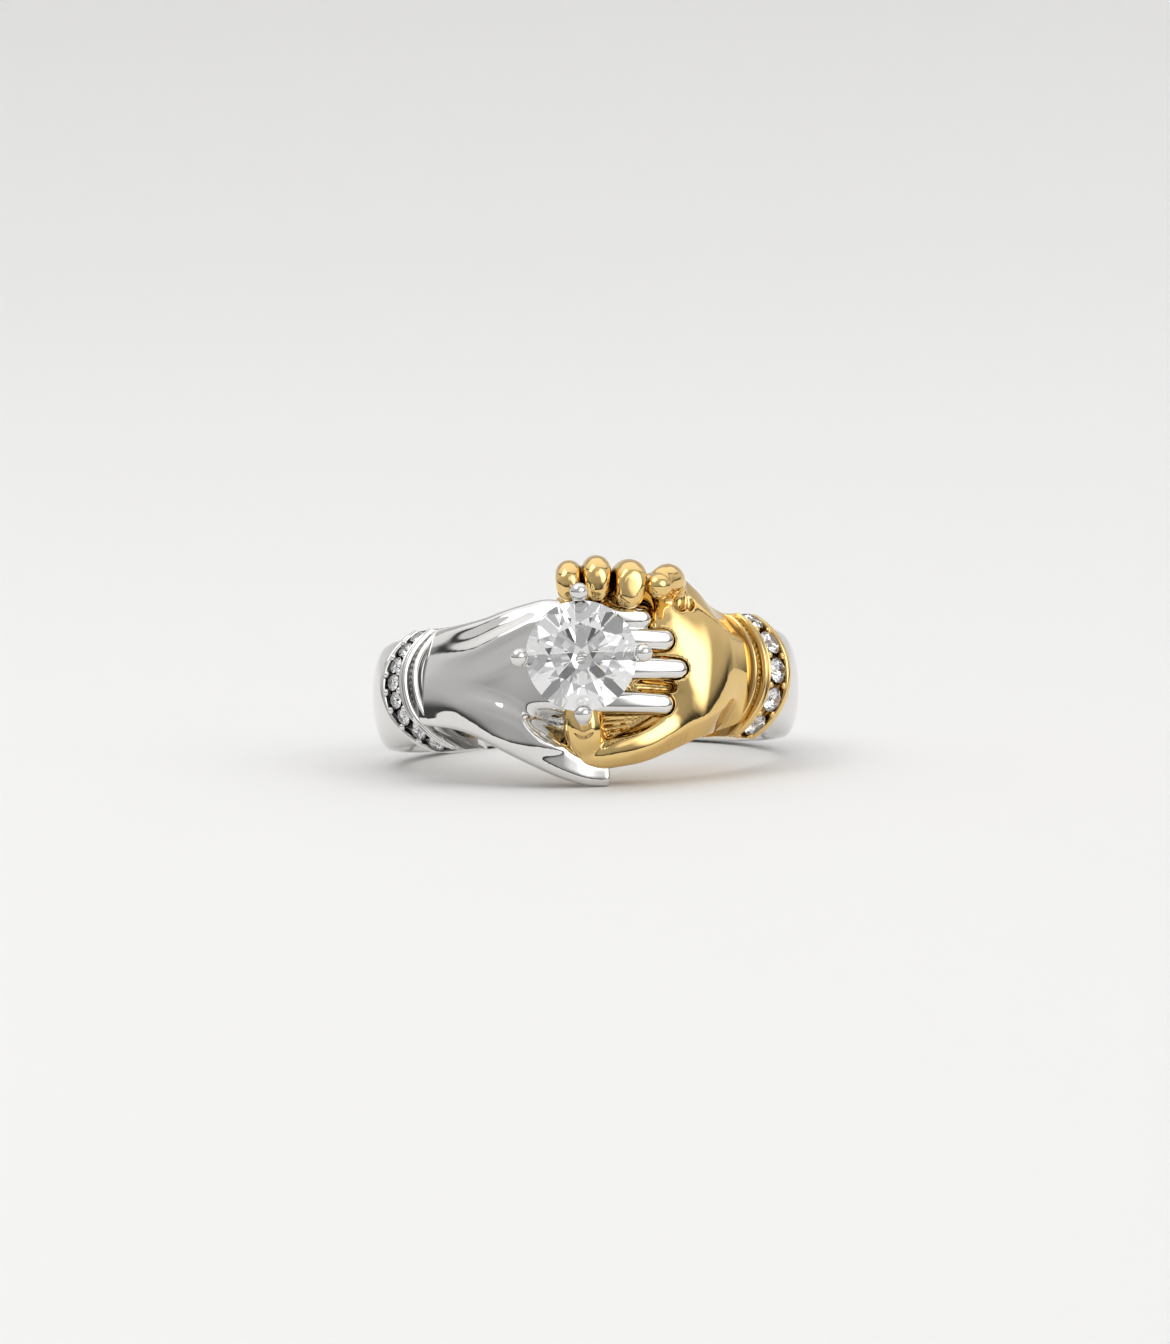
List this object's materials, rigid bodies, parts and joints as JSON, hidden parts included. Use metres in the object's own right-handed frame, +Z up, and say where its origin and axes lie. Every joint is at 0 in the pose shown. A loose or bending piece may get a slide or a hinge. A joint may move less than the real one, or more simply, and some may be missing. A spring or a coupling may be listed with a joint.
{
  "type": "clasped-hands wedding ring",
  "caption": "Two-tone ring of a white gold and a yellow gold hand clasped under a round diamond, with diamond-set cuffs.",
  "frame": {"origin": "on the surface that the ring lies on, under the middle of its bounding box", "axes": "+Z up from that surface; +Y from the stone's side to the back of the shank; +X to the right as seen from the stone's side. The ring lies on its side and leans back by 10.8 degrees, so the bore's axis is that far from +Z"},
  "size_m": [0.0208, 0.0252, 0.0109],
  "materials": {
    "white_gold": "polished",
    "yellow_gold": "polished",
    "diamond": "faceted and clear"
  },
  "bodies": {
    "root": {"white_gold_band_and_hand": "white_gold", "yellow_gold_cuff_and_hand": "yellow_gold", "prong_head": "white_gold", "centre_diamond": "diamond", "white_cuff_diamond_1": "diamond", "white_cuff_diamond_2": "diamond", "white_cuff_diamond_3": "diamond", "white_cuff_diamond_4": "diamond", "white_cuff_diamond_5": "diamond", "white_cuff_diamond_6": "diamond", "white_cuff_diamond_7": "diamond", "white_cuff_diamond_8": "diamond", "yellow_cuff_diamond_1": "diamond", "yellow_cuff_diamond_2": "diamond", "yellow_cuff_diamond_3": "diamond", "yellow_cuff_diamond_4": "diamond", "yellow_cuff_diamond_5": "diamond"}
  },
  "joints": []
}
